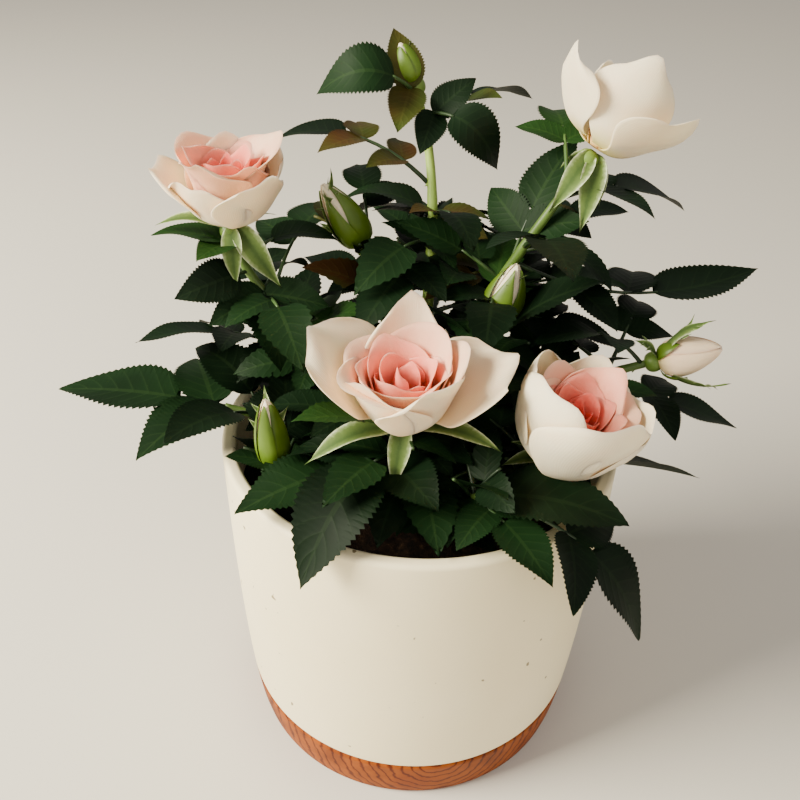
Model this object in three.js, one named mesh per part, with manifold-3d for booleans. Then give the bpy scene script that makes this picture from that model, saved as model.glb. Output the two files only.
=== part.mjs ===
// A miniature rose in bloom, in a round white pot on a turned wooden base.
// Millimetres, +Z up. The origin is the middle of the base's underside, and -Y is the side it is seen from.
// Azimuths are in degrees from +X towards +Y, and rises are in degrees above the level.

import * as THREE from "three";
import { mergeVertices } from "three/addons/utils/BufferGeometryUtils.js";
import Module from "manifold-3d";

const wasm = await Module();
wasm.setup();

// Driving sizes of the pot and its base.
const CLEAR = 0.3; // the gap kept wherever two pieces meet
const RIM_RADIUS = 65;
const POT_HEIGHT = 120;
const FOOT_RADIUS = 58;
const WALL = 4.5;
const LIP_ROUND = 1.5;
const BASE_HEIGHT = 20;
const BASE_FLOOR = 7;
const BASE_EDGE = 2.5; // rounding of the base's lower edge
const NEST_RADIUS = 50; // the pot's foot, where it drops into the wooden base
const SOIL_LEVEL = 98;
const ROUND_SIDES = 32;

// Driving sizes of the plant.
const CANE_RADIUS = 2.6;
const SHOOT_TIP_RADIUS = 1.15;
const LEAFY_FROM = 0.3; // share of a shoot at which its bare cane ends and its leafy part begins
const RACHIS_RADIUS = 0.95;
const BLADE_THICKNESS = 0.7;
const BLADE_WIDTH = 0.62; // of a leaflet's length
const BLADE_FOLD = 0.2; // how far the margins rise, of the half width
const LONG_BLADE = 36; // from this length a blade is worked out a little finer
const BLADE_SINK = 0.4; // how far past the stalk's middle a side leaflet's base reaches
const BLADE_OVERLAP = 1.2; // how far the stalk runs into the end leaflet
const SIDE_SPREAD = 62; // degrees between the stalk and a side leaflet
const HIP_RADIUS = 3.4;
const HIP_HEIGHT = 6;
const SEPAL_WIDTH = 0.27; // of a sepal's length
const PETAL_THICKNESS = 0.8;
const TUCK = 1.1; // how far one margin of a petal stands out over the next, and the other in under it
const GOLDEN_ANGLE = 137.5;
const FIRST_SEED = 100; // of the first shoot's leaves, and one more for each shoot after it
const FOLIAGE_TOLERANCE = 0.25; // how far the joined surfaces may move as slivers are merged
const BLOOM_TOLERANCE = 0.25;

const UP = new THREE.Vector3(0, 0, 1);
const radians = THREE.MathUtils.degToRad;

// Where a leaf leaves its shoot, as a share of the shoot, and where the tip of its end leaflet lies from
// there: azimuth, rise and reach. Then the end leaflet's length, the number of leaflets, the leaf's roll
// about its own line, and how high its line arches, as a share of the reach.
const leaf = (at, azimuth, rise, reach, blade, leaflets = 5, roll = 0, arch = 0.1) => ({
  at, azimuth, rise, reach, blade, leaflets, roll, arch,
});

// A petal is turned to an azimuth about the flower's axis and leans that many degrees out from it. Then come
// its length and width, how far its upper edge bends back outwards in degrees, and the height of its point.
const petal = (turn, lean, length, width, bend = 0, point = 0) => ({
  turn, lean, length, width, bend, point,
});

// A sepal, in its flower's own axes: the azimuth it is turned to, its rise and its length.
const sepal = (turn, rise, length) => ({ turn, rise, length });

// Each shoot: its foot on the soil and its tip under the flower, as azimuth, reach from the pot's axis and,
// for the tip, height; the way that its flower faces; how many leaves grow by rule, and the leaves placed one
// by one. A bloom has petals and a heart, a bud has none, and hearts and buds have a height and a radius.
const SHOOTS = [
  {
    name: "front", foot: [265, 16], azimuth: 260, reach: 31, height: 145, faces: [262, 82], grown: 3,
    leaves: [
      leaf(0.5, 237, -11, 55, 35, 3, 0, 0.28), leaf(0.4, 212, 6, 59, 32, 3),
      leaf(0.5, 285, 10, 56, 28, 3, 0, 0.15),
    ],
    heart: [23, 14],
    petals: [
      petal(165, 42, 33, 33, 30), petal(8, 44, 34, 34, 34), petal(85, 14, 33, 27, 2, 6),
      petal(228, 20, 27, 34, -4), petal(305, 18, 27, 33, -4, 1),
    ],
    sepals: [
      sepal(208, -14, 27), sepal(258, -48, 21), sepal(332, -10, 28), sepal(60, -20, 18), sepal(125, -20, 18),
    ],
  },
  {
    name: "left", foot: [160, 14], azimuth: 166, reach: 62, height: 184, faces: [300, 84], grown: 3,
    leaves: [
      leaf(0.72, 291, -41, 28, 27, 3, 0, 0.2), leaf(0.9, 183, 8, 26, 22, 3),
      leaf(0.8, 220, -4, 26, 22, 1, 50), leaf(0.84, 20, 4, 32, 22, 1, 0, 0.2),
      leaf(0.6, 22, 19, 27, 22, 3, 0, 0.15),
    ],
    heart: [24, 12],
    petals: [
      petal(180, 38, 26, 25, 26, 1), petal(315, 28, 25, 28, -8, 1), petal(245, 30, 23, 28, -8),
      petal(100, 12, 28, 26, 0, 2), petal(38, 14, 27, 25, 2, 1),
    ],
    sepals: [
      sepal(180, -4, 22), sepal(288, -70, 20), sepal(340, -50, 25), sepal(30, 5, 14), sepal(110, -30, 14),
    ],
  },
  {
    name: "right_front", foot: [320, 18], azimuth: 326, reach: 48, height: 131, faces: [313, 70], grown: 5,
    leaves: [leaf(0.8, 353, 1, 49, 34, 1, 30, 0.05)],
    heart: [25, 13],
    petals: [
      petal(150, 24, 35, 33, -40), petal(215, 14, 40, 38, -40), petal(280, 12, 40, 40, -40),
      petal(350, 24, 33, 35, -24, 1), petal(65, 22, 32, 34, -20, 1),
    ],
    sepals: [
      sepal(190, -25, 15), sepal(165, -5, 12), sepal(290, -55, 14), sepal(330, -45, 15), sepal(70, -30, 14),
    ],
  },
  {
    name: "tall_right", foot: [68, 26], azimuth: 22.7, reach: 52, height: 207.5, faces: [25, 55], grown: 3,
    leaves: [
      leaf(0.6, 48, 49, 45.5, 27, 3), leaf(0.84, 19, -11, 47, 29, 3, 0, 0.12),
      leaf(0.74, 327, -13, 41, 30, 1), leaf(0.62, 9.5, -4.5, 85, 35, 5, 0, -0.12),
      leaf(0.5, 4, 3, 44, 27, 5), leaf(0.42, 344, -5, 48, 24, 3),
    ],
    heart: [20, 8],
    petals: [
      petal(197, 46, 23, 19, -18, 4), petal(264, 14, 30, 27, -22, 1), petal(330, 38, 27, 26, -6, 3),
      petal(60, 16, 27, 24, -8), petal(125, 14, 27, 24, -8),
    ],
    sepals: [
      sepal(359, -80, 22), sepal(343, -67, 23), sepal(7, -47, 15), sepal(60, -50, 14), sepal(130, -55, 16),
    ],
  },
  {
    name: "tall_back", foot: [95, 12], azimuth: 97, reach: 50, height: 219, faces: [165, 66], grown: 2,
    leaves: [
      leaf(0.95, 185, 0, 32, 24, 3, 45, 0.45), leaf(0.9, 342, -30, 30, 21, 3, -45, 0.5),
      leaf(0.7, 162, 9, 56, 24, 5, 0, 0.16), leaf(0.62, 173, 6, 31, 29, 1, 0, 0.18),
      leaf(0.6, 24, 34, 28, 24, 3, 0, -0.12),
    ],
    bud: [11, 4],
    sepals: [sepal(0, 78, 13), sepal(60, 50, 6)],
  },
  {
    name: "back_left", foot: [130, 18], azimuth: 125, reach: 37, height: 172, faces: [185, 58], grown: 5,
    leaves: [leaf(0.7, 308, 43, 33, 30, 3, 0, 0.15)],
    bud: [23, 5.6],
    sepals: [sepal(180, 45, 20), sepal(0, 82, 28), sepal(270, 78, 25)],
  },
  {
    name: "centre", foot: [325, 13], azimuth: 23, reach: 25, height: 156, faces: [0, 76], grown: 2,
    leaves: [
      leaf(0.6, 197, 60, 35, 30, 3, 0, 0.15), leaf(0.7, 350, 44, 50, 34, 1, 0, 0.12),
      leaf(0.5, 262, 50, 38, 28, 3, 0, 0.2),
    ],
    bud: [20, 6],
    sepals: [sepal(200, 80, 20), sepal(320, 80, 21)],
  },
  {
    name: "right", foot: [0, 22], azimuth: 3.7, reach: 77.4, height: 145.2, faces: [350, 22], grown: 4,
    leaves: [leaf(0.7, 351, -15, 50, 25, 3, 0, 0.02)],
    heart: [18.5, 6.8],
    petals: [],
    sepals: [sepal(155, 36, 19), sepal(300, 34, 15), sepal(175, -25, 13)],
  },
  {
    name: "left_low", foot: [205, 20], azimuth: 209, reach: 51, height: 123, faces: [200, 86], grown: 2,
    leaves: [leaf(0.6, 233, 9, 43, 24, 3, 0, 0.2)],
    bud: [24, 4.6],
    sepals: [sepal(100, 80, 27), sepal(300, 70, 10)],
  },
  {
    name: "far_left", foot: [180, 22], azimuth: 182, reach: 64, height: 127, faces: [180, 20], grown: 2,
    leaves: [
      leaf(0.97, 174, 1, 58, 42, 5, 0, 0.04), leaf(0.8, 236, 17, 40, 30, 1),
      leaf(0.75, 140, 19, 36, 29, 1, 0, 0.2),
    ],
  },
  {
    name: "front_right", foot: [300, 22], azimuth: 291, reach: 47, height: 128, faces: [300, 50], grown: 4,
    leaves: [
      leaf(1, 336, -34, 63, 31, 3, 0, 0.2), leaf(0.9, 342, 4, 44, 43, 1),
      leaf(0.8, 300, 0, 40, 24, 3),
    ],
  },
  {
    name: "back_right", foot: [50, 22], azimuth: 52, reach: 58, height: 170, faces: [60, 70], grown: 5,
    leaves: [],
  },
  {
    name: "back", foot: [90, 24], azimuth: 100, reach: 62, height: 158, faces: [90, 65], grown: 5,
    leaves: [],
  },
  {
    name: "back_low_left", foot: [150, 26], azimuth: 150, reach: 66, height: 145, faces: [150, 60], grown: 5,
    leaves: [],
  },
];

// Directions and places.
function direction(azimuth, rise) {
  const a = radians(azimuth);
  const r = radians(rise);
  return new THREE.Vector3(Math.cos(a) * Math.cos(r), Math.sin(a) * Math.cos(r), Math.sin(r));
}

function polar(azimuth, reach, height) {
  return direction(azimuth, 0).multiplyScalar(reach).setZ(height);
}

// The part of a vector that is square to a unit vector, at unit length.
function squareTo(vector, axis) {
  return vector.clone().addScaledVector(axis, -vector.dot(axis)).normalize();
}

// A repeatable stream of numbers from 0 to 1.
function randomStream(seed) {
  let state = seed;
  return () => {
    state = (state * 1664525 + 1013904223) % 4294967296;
    return state / 4294967296;
  };
}

// A closed three.js shape, each point moved by `place`, as a solid that can be joined and cut.
function solid(geometry, place) {
  geometry.deleteAttribute("normal");
  geometry.deleteAttribute("uv");
  const merged = mergeVertices(geometry, 1e-4);
  const points = merged.getAttribute("position");
  const point = new THREE.Vector3();
  for (let i = 0; i < points.count; i++) {
    point.fromBufferAttribute(points, i);
    if (place) point.copy(place(point));
    points.setXYZ(i, point.x, point.y, point.z);
  }
  const corners = [];
  for (let i = 0; i < merged.index.count; i += 3) {
    const [a, b, c] = [0, 1, 2].map((k) => merged.index.getX(i + k));
    if (a !== b && b !== c && c !== a) corners.push(a, b, c);
  }
  return new wasm.Manifold(
    new wasm.Mesh({ numProp: 3, vertProperties: points.array, triVerts: Uint32Array.from(corners) }),
  );
}

// A shape turned on the Z axis from its half section, given as [radius, height] from the axis and back to it.
function turned(section) {
  const points = section.map(([radius, height]) => new THREE.Vector2(radius, height));
  const lathe = new THREE.LatheGeometry(points, ROUND_SIDES);
  return solid(lathe, (p) => new THREE.Vector3(p.x, -p.z, p.y));
}

// The pot and its base share one outer line: a quarter ellipse that swells from the foot to the rim.
function bodyRadius(height) {
  const below = 1 - height / POT_HEIGHT;
  return FOOT_RADIUS + (RIM_RADIUS - FOOT_RADIUS) * Math.sqrt(1 - below * below);
}

// Points on a quarter turn of a rounded edge, about its centre, from one angle in degrees to another.
function quarter(radius, height, round, from, to, steps = 3) {
  return Array.from({ length: steps + 1 }, (_, i) => {
    const angle = radians(from + ((to - from) * i) / steps);
    return [radius + round * Math.cos(angle), height + round * Math.sin(angle)];
  });
}

// The outer line between two heights.
function outerLine(low, high, steps) {
  return Array.from({ length: steps + 1 }, (_, i) => {
    const height = low + ((high - low) * i) / steps;
    return [bodyRadius(height), height];
  });
}

const POT_UNDERSIDE = BASE_FLOOR + CLEAR;
const POT_SHOULDER = BASE_HEIGHT + CLEAR;
const POT_FLOOR = POT_UNDERSIDE + WALL;
const WELL_HEIGHT = POT_SHOULDER + 1; // where the narrow foot opens into the body, inside
const BODY_FLOOR = WELL_HEIGHT + WALL;

// The inside of the pot from its floor up to a height, drawn in by a gap.
function innerLine(high, gap) {
  const wall = outerLine(BODY_FLOOR, high, 3).map(([radius, height]) => [radius - WALL - gap, height]);
  const well = NEST_RADIUS - WALL - gap;
  return [[0, POT_FLOOR + gap], [well, POT_FLOOR + gap], [well, WELL_HEIGHT], ...wall];
}

function makeBase() {
  return turned([
    [0, 0],
    ...quarter(FOOT_RADIUS - BASE_EDGE, BASE_EDGE, BASE_EDGE, -90, 0, 2),
    ...outerLine(BASE_EDGE + 1, BASE_HEIGHT, 2),
    [NEST_RADIUS + CLEAR, BASE_HEIGHT],
    [NEST_RADIUS + CLEAR, BASE_FLOOR],
    [0, BASE_FLOOR],
  ]);
}

function makePot() {
  const lip = POT_HEIGHT - LIP_ROUND;
  return turned([
    [0, POT_UNDERSIDE],
    [NEST_RADIUS, POT_UNDERSIDE],
    [NEST_RADIUS, POT_SHOULDER],
    ...outerLine(POT_SHOULDER, lip, 3),
    ...quarter(RIM_RADIUS - LIP_ROUND, lip, LIP_ROUND, 45, 90, 1),
    ...quarter(RIM_RADIUS - WALL + LIP_ROUND, lip, LIP_ROUND, 90, 135, 1),
    ...innerLine(lip, 0).reverse(),
  ]);
}

function makeSoil() {
  return turned([...innerLine(SOIL_LEVEL, CLEAR), [0, SOIL_LEVEL]]);
}

// The middle line of a shoot: straight up out of the soil, and into its flower the way that the flower faces.
function shootLine({ foot, azimuth, reach, height, faces }) {
  const start = polar(...foot, SOIL_LEVEL + CLEAR);
  const end = polar(azimuth, reach, height);
  const span = start.distanceTo(end);
  return new THREE.CubicBezierCurve3(
    start,
    start.clone().addScaledVector(UP, 0.4 * span),
    end.clone().addScaledVector(direction(...faces), -0.3 * span),
    end,
  );
}

const evenShares = (from, to, steps) =>
  Array.from({ length: steps + 1 }, (_, i) => from + ((to - from) * i) / steps);
const shootRadius = (share) => CANE_RADIUS + (SHOOT_TIP_RADIUS - CANE_RADIUS) * share;

// A round limb along a curve: a cylinder bent to it, with a ring and a radius at each of these shares.
function limb(curve, shares, radiusAt, sides, across) {
  const steps = shares.length - 1;
  const cylinder = new THREE.CylinderGeometry(1, 1, 1, sides, steps);
  return solid(cylinder, (p) => {
    const share = shares[Math.round((p.y + 0.5) * steps)];
    const along = curve.getTangent(share);
    const side = squareTo(across, along);
    const front = new THREE.Vector3().crossVectors(side, along);
    const radius = radiusAt(share);
    return curve.getPoint(share).addScaledVector(side, p.x * radius).addScaledVector(front, p.z * radius);
  });
}

// A line from one point to another that bulges that far towards `up` at its middle.
function bowed(from, to, up, bulge) {
  const middle = from.clone().add(to).multiplyScalar(0.5).addScaledVector(up, 2 * bulge);
  return new THREE.QuadraticBezierCurve3(from, middle, to);
}

// A leaflet's half width along its length, as a share of the greatest: full and round below, then drawn to a
// point.
function leafletOutline(share) {
  return 2.8 * share ** 0.55 * (1 - share) ** 1.05;
}

// A leaflet, sepal or other blade: a flat lens laid along its middle line, its margins raised a little.
function blade({ root, tip, up, bulge }, width) {
  const line = bowed(root, tip, up, bulge);
  const length = root.distanceTo(tip);
  const lens = new THREE.SphereGeometry(1, 4, length > LONG_BLADE ? 4 : 3);
  return solid(lens, (p) => {
    const share = Math.acos(THREE.MathUtils.clamp(p.y, -1, 1)) / Math.PI;
    const ring = Math.hypot(p.x, p.z);
    const along = line.getTangent(share);
    const top = squareTo(up, along);
    const across = new THREE.Vector3().crossVectors(top, along);
    const half = 0.5 * width * leafletOutline(share);
    const u = ring > 1e-6 ? p.x / ring : 0;
    const w = ring > 1e-6 ? p.z / ring : 0;
    const lift = BLADE_FOLD * half * Math.abs(u) + 0.5 * BLADE_THICKNESS * w;
    return line.getPoint(share).addScaledVector(across, u * half).addScaledVector(top, lift);
  });
}

// Where a compound leaf's parts lie: the line of its stalk, the shares of it that take a ring, the way across
// it, and each leaflet's root, tip, upper side and bulge. Side leaflets stand in pairs, smaller towards the
// shoot.
function leafPlan(base, { azimuth, rise, reach, blade: length, leaflets, roll, arch }) {
  const along = direction(azimuth, rise);
  const level = squareTo(UP, along);
  const beside = new THREE.Vector3().crossVectors(level, along);
  const up = level.multiplyScalar(Math.cos(radians(roll))).addScaledVector(beside, Math.sin(radians(roll)));
  const across = new THREE.Vector3().crossVectors(up, along);
  const line = bowed(base, base.clone().addScaledVector(along, reach), up, arch * reach);
  const end = Math.max(1 - length / reach, 0.12);
  const root = line.getPoint(end);
  const tip = line.getPoint(1);
  const blades = [{ root, tip, up, bulge: arch * reach * (1 - end) ** 2 }];
  const rings = [end + BLADE_OVERLAP / reach];
  for (let pair = 0; pair < (leaflets - 1) / 2; pair++) {
    const at = Math.max(end - ((0.26 + 0.6 * pair) * length) / reach, 0.08);
    const ahead = line.getTangent(at);
    rings.unshift(at);
    const reached = length * (0.8 - 0.1 * pair);
    for (const side of [1, -1]) {
      const heading = ahead.clone().multiplyScalar(Math.cos(radians(SIDE_SPREAD)));
      heading.addScaledVector(across, side * Math.sin(radians(SIDE_SPREAD)));
      heading.addScaledVector(up, -0.14).normalize();
      const from = line.getPoint(at).addScaledVector(heading, -BLADE_SINK);
      blades.push({
        root: from,
        tip: from.clone().addScaledVector(heading, reached),
        up: squareTo(up, heading),
        bulge: 0.07 * reached,
      });
    }
  }
  return { line, rings: [0, ...rings], across, blades };
}

// The leaves that a shoot grows by rule: each a golden angle round from the last, higher up the shoot, and
// more upright and smaller towards its tip.
function ruleLeaves(shoot, seed) {
  const random = randomStream(seed);
  const between = (low, high) => low + (high - low) * random();
  return Array.from({ length: shoot.grown }, (_, k) => {
    const share = (k + 0.5) / shoot.grown;
    const reach = between(44, 56) * (1.08 - 0.25 * share);
    return leaf(
      LEAFY_FROM + 0.06 + (0.92 - LEAFY_FROM) * share,
      shoot.azimuth + GOLDEN_ANGLE * (k + 1) + between(-20, 20),
      between(-12, 6) + 22 * share,
      reach,
      between(0.48, 0.56) * reach,
      share < 0.5 ? 5 : 3,
      between(-15, 15),
      between(0.1, 0.2),
    );
  });
}

// A flower's own axes: its axis, a side that points to +X as far as it can, and the third square to both.
function flowerAxes(faces) {
  const axis = direction(...faces);
  const side = squareTo(new THREE.Vector3(1, 0, 0), axis);
  return { axis, side, back: new THREE.Vector3().crossVectors(axis, side) };
}

const around = ({ side, back }, turn) =>
  side.clone().multiplyScalar(Math.cos(radians(turn))).addScaledVector(back, Math.sin(radians(turn)));

// A round, pointed body from its foot along an axis, such as a hip or a bud.
function egg(foot, axes, height, radius, sides, rings, blunt) {
  const widest = 0.4 / (0.4 + blunt);
  const peak = widest ** 0.4 * (1 - widest) ** blunt;
  const ball = new THREE.SphereGeometry(1, sides, rings);
  return solid(ball, (p) => {
    const share = 0.5 - 0.5 * p.y;
    const swell = radius * (share ** 0.4 * (1 - share) ** blunt) / peak;
    const ring = Math.hypot(p.x, p.z) || 1;
    return foot
      .clone()
      .addScaledVector(axes.axis, share * height)
      .addScaledVector(axes.side, (p.x / ring) * swell * (share > 0 && share < 1 ? 1 : 0))
      .addScaledVector(axes.back, (p.z / ring) * swell * (share > 0 && share < 1 ? 1 : 0));
  });
}

// How far a petal's rib has come from the flower's axis and up along it. Its slope above the level turns from
// the flat of the cup to its lean within the first 40 %, and bends back out over the last 40 %.
function ribPoint({ lean, length, bend, cup = 18 }, share) {
  const steps = 10;
  let radius = 2.4;
  let height = 0.6;
  for (let i = 0; i < steps; i++) {
    const at = (share * (i + 0.5)) / steps;
    const turn = THREE.MathUtils.smoothstep(at, 0, 0.4);
    const slope = radians(cup + (90 - lean - cup) * turn - bend * THREE.MathUtils.smoothstep(at, 0.6, 1));
    radius += (length * share * Math.cos(slope)) / steps;
    height += (length * share * Math.sin(slope)) / steps;
  }
  return { radius, height };
}

// A point of a petal, u from -1 to 1 across and v from 0 to 1 along. Its top edge is round, with a point in
// the middle, and its cross-section is an arc about the flower's axis, one margin tucked under the next petal.
function petalPoint(shape, u, v) {
  const rounded = v * (1 - 0.24 * u * u);
  const { radius, height } = ribPoint(shape, rounded);
  const full = 0.16 + 0.84 * THREE.MathUtils.smoothstep(rounded, 0, 0.56);
  const narrowed = 1 - 0.22 * THREE.MathUtils.smoothstep(rounded, 0.66, 1);
  const half = 0.5 * shape.width * full * narrowed;
  const bow = radius + 4;
  const angle = (u * half) / bow;
  const peak = shape.point * Math.max(0, 1 - Math.abs(u) / 0.5) * THREE.MathUtils.smoothstep(v, 0.7, 1);
  return {
    out: radius - bow * (1 - Math.cos(angle)) + TUCK * u * Math.min(1, 2 * v),
    round: bow * Math.sin(angle),
    up: height + peak,
  };
}

function petalSolid(start, axes, shape, columns, rows) {
  const out = around(axes, shape.turn);
  const round = around(axes, shape.turn + 90);
  const place = (u, v) => {
    const at = petalPoint(shape, u, v);
    return start.clone().addScaledVector(out, at.out).addScaledVector(round, at.round)
      .addScaledVector(axes.axis, at.up);
  };
  return solid(new THREE.BoxGeometry(2, 1, PETAL_THICKNESS, columns, rows, 1), (p) => {
    const v = p.y + 0.5;
    const across = place(p.x + 0.01, v).sub(place(p.x - 0.01, v));
    const along = place(p.x, v + 0.01).sub(place(p.x, v - 0.01));
    return place(p.x, v).addScaledVector(across.cross(along).normalize(), p.z);
  });
}

// One closed body from solids that overlap. A hollow that the join seals is filled, and a loose scrap is
// dropped.
function joined(solids, tolerance) {
  const bodies = wasm.Manifold.union(solids).simplify(tolerance).decompose();
  return bodies.reduce((best, body) => (body.volume() > best.volume() ? body : best));
}

// A bloom: its outer petals round a closed heart, or the heart alone where it only begins to open.
function makeBloom({ heart, petals }, start, axes) {
  const closed = egg(start, axes, ...heart, 7, 4, petals.length ? 0.15 : 0.8);
  return joined([closed, ...petals.map((shape) => petalSolid(start, axes, shape, 3, 2))], BLOOM_TOLERANCE);
}

// The green parts under a flower: the hip that carries it, its sepals and, if it is still shut, the bud.
function makeCalyx({ sepals = [], bud, heart }, tip, axes) {
  if (!bud && !heart) return [];
  const below = tip.clone().addScaledVector(axes.axis, -HIP_HEIGHT);
  const hip = egg(below, axes, HIP_HEIGHT, HIP_RADIUS, 6, 4, 0.4);
  const seat = tip.clone().addScaledVector(axes.axis, -0.3 * HIP_HEIGHT);
  const blades = sepals.map(({ turn, rise, length }) => {
    const heading = around(axes, turn).multiplyScalar(Math.cos(radians(rise)));
    heading.addScaledVector(axes.axis, Math.sin(radians(rise)));
    const root = seat.clone().addScaledVector(around(axes, turn), 0.4 * HIP_RADIUS);
    const up = squareTo(rise > 0 ? around(axes, turn).negate() : axes.axis, heading);
    const end = root.clone().addScaledVector(heading, length);
    return blade({ root, tip: end, up, bulge: 0.06 * length }, SEPAL_WIDTH * length);
  });
  if (!bud) return [hip, ...blades];
  const [height, radius] = bud;
  return [hip, egg(seat, axes, height + 0.3 * HIP_HEIGHT, radius, 7, 5, 0.8), ...blades];
}

// The pieces already in place, each with the node that it belongs to. A new twig or leaf keeps clear of them.
const placed = [];

function place(owner, piece, isLimb = false) {
  placed.push({ owner, piece, isLimb, box: piece.boundingBox() });
}

const apart = (a, b) =>
  [0, 1, 2].some((i) => a.min[i] - CLEAR > b.max[i] || b.min[i] - CLEAR > a.max[i]);

function isFree(piece, owner) {
  const box = piece.boundingBox();
  return placed.every((other) =>
    (other.isLimb && other.owner === owner) || apart(box, other.box) ||
    other.piece.minGap(piece, CLEAR) >= 0.9 * CLEAR);
}

const materials = {
  glaze: new THREE.MeshStandardMaterial({ color: "#eceadf", roughness: 0.55 }),
  wood: new THREE.MeshStandardMaterial({ color: "#b5652b", roughness: 0.6 }),
  earth: new THREE.MeshStandardMaterial({ color: "#2a2019", roughness: 1 }),
  bark: new THREE.MeshStandardMaterial({ color: "#4c5a2c", roughness: 0.8 }),
  leaves: new THREE.MeshStandardMaterial({ color: "#22402a", roughness: 0.5 }),
  petals: new THREE.MeshStandardMaterial({ color: "#f3dccb", roughness: 0.6 }),
};

// A solid as a named piece of the model.
function piece(name, shape, material) {
  const { vertProperties, triVerts } = shape.getMesh();
  const geometry = new THREE.BufferGeometry();
  geometry.setAttribute("position", new THREE.BufferAttribute(vertProperties, 3));
  geometry.setIndex(new THREE.BufferAttribute(triVerts, 1));
  geometry.computeVertexNormals();
  const mesh = new THREE.Mesh(geometry, material);
  mesh.name = name;
  return mesh;
}

const rose = new THREE.Group();
for (const [name, shape, material] of [
  ["base", makeBase(), materials.wood],
  ["pot", makePot(), materials.glaze],
  ["soil", makeSoil(), materials.earth],
]) {
  place(name, shape);
  rose.add(piece(name, shape, material));
}

// The limbs, blooms, calyxes and buds come first, so that every leaf keeps clear of them.
const plants = SHOOTS.map((shoot) => {
  const line = shootLine(shoot);
  const plane = new THREE.Vector3().crossVectors(line.getPoint(1).sub(line.getPoint(0)), UP);
  const across = plane.lengthSq() > 1 ? plane.normalize() : new THREE.Vector3(1, 0, 0);
  const axes = flowerAxes(shoot.faces);
  const gap = CLEAR / line.getLength();
  const cane = limb(line, evenShares(0, LEAFY_FROM, 3), shootRadius, 4, across);
  const stem = limb(line, evenShares(LEAFY_FROM + gap, 1, 6), shootRadius, 4, across);
  return { shoot, line, axes, cane, parts: [stem] };
});

for (const { shoot, line, axes, cane, parts } of plants) {
  place("cane_" + shoot.name, cane);
  place("foliage_" + shoot.name, parts[0], true);
  rose.add(piece("cane_" + shoot.name, cane, materials.bark));
  const tip = line.getPoint(1);
  if (shoot.petals) {
    const bloom = makeBloom(shoot, tip.clone().addScaledVector(axes.axis, CLEAR), axes);
    place("bloom_" + shoot.name, bloom);
    rose.add(piece("bloom_" + shoot.name, bloom, materials.petals));
  }
  for (const green of makeCalyx(shoot, tip, axes)) {
    parts.push(green);
    place("foliage_" + shoot.name, green, true);
  }
}

// The leaves, those placed one by one before those that grow by rule. A stalk that has no room takes its leaf
// with it, and so does a leaf whose blades all lack room.
function growLeaf({ shoot, line, parts }, sizes) {
  const owner = "foliage_" + shoot.name;
  const plan = leafPlan(line.getPoint(sizes.at), sizes);
  const stalk = limb(plan.line, plan.rings, () => RACHIS_RADIUS, 3, plan.across);
  if (!isFree(stalk, owner)) return;
  const blades = plan.blades
    .map((shape) => blade(shape, BLADE_WIDTH * shape.root.distanceTo(shape.tip)))
    .filter((shape) => isFree(shape, owner));
  if (!blades.length) return;
  parts.push(stalk, ...blades);
  place(owner, stalk, true);
  blades.forEach((shape) => place(owner, shape));
}

for (const plant of plants) {
  plant.shoot.leaves.forEach((sizes) => growLeaf(plant, sizes));
}
plants.forEach((plant, index) => {
  ruleLeaves(plant.shoot, FIRST_SEED + index).forEach((sizes) => growLeaf(plant, sizes));
});
for (const { shoot, parts } of plants) {
  rose.add(piece("foliage_" + shoot.name, joined(parts, FOLIAGE_TOLERANCE), materials.leaves));
}

export default rose;
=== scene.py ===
import math

import bpy
import numpy as np
from mathutils import Matrix, Vector


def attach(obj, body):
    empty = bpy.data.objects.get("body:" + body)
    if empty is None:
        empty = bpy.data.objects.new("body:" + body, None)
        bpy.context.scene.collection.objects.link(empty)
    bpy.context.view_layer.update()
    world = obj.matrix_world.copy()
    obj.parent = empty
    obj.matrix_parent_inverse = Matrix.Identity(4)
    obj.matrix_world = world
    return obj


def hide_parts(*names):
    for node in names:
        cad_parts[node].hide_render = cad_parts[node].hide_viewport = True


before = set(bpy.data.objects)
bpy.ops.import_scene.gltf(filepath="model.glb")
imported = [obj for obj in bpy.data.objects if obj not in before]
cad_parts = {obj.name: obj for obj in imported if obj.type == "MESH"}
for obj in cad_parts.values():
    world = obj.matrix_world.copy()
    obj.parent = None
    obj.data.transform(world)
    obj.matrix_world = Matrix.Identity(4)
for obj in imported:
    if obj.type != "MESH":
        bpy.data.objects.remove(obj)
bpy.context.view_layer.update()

# The studio
# The plant stands on a plain pale floor in soft light that comes mostly from behind on the left. The camera
# looks down at it from the front, as one does at a plant on a table.
MM = 0.001
FOCAL_LENGTH = 39.0
SENSOR_WIDTH = 36.0
PITCH = math.radians(35.24)
ROLL = math.radians(1.68)
CAMERA_PLACE = Vector((-6.8, -231.3, 293.3)) * MM
PLANT_MIDDLE = Vector((0, 0, 120)) * MM


def linear(code):
    """Red, green, blue and alpha for the shader from a six-figure colour: shares of 255 raised to 2.2."""
    shares = [int(code[i : i + 2], 16) / 255 for i in (0, 2, 4)]
    return (*[share**2.2 for share in shares], 1.0)


def feed(tree, node, inputs):
    """Each named input of a node takes a socket or a plain value."""
    for key, value in inputs.items():
        if isinstance(value, bpy.types.NodeSocket):
            tree.links.new(value, node.inputs[key])
        else:
            node.inputs[key].default_value = value


def new_material(name, base, roughness, specular, **more):
    """A material with one Principled shader, and its tree."""
    material = bpy.data.materials.new(name)
    material.use_nodes = True
    feed(material.node_tree, material.node_tree.nodes["Principled BSDF"],
         {"Base Color": linear(base), "Roughness": roughness, "Specular IOR Level": specular, **more})
    return material, material.node_tree


def add_object(name, data):
    """An object in the scene."""
    thing = bpy.data.objects.new(name, data)
    bpy.context.scene.collection.objects.link(thing)
    return thing


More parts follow.
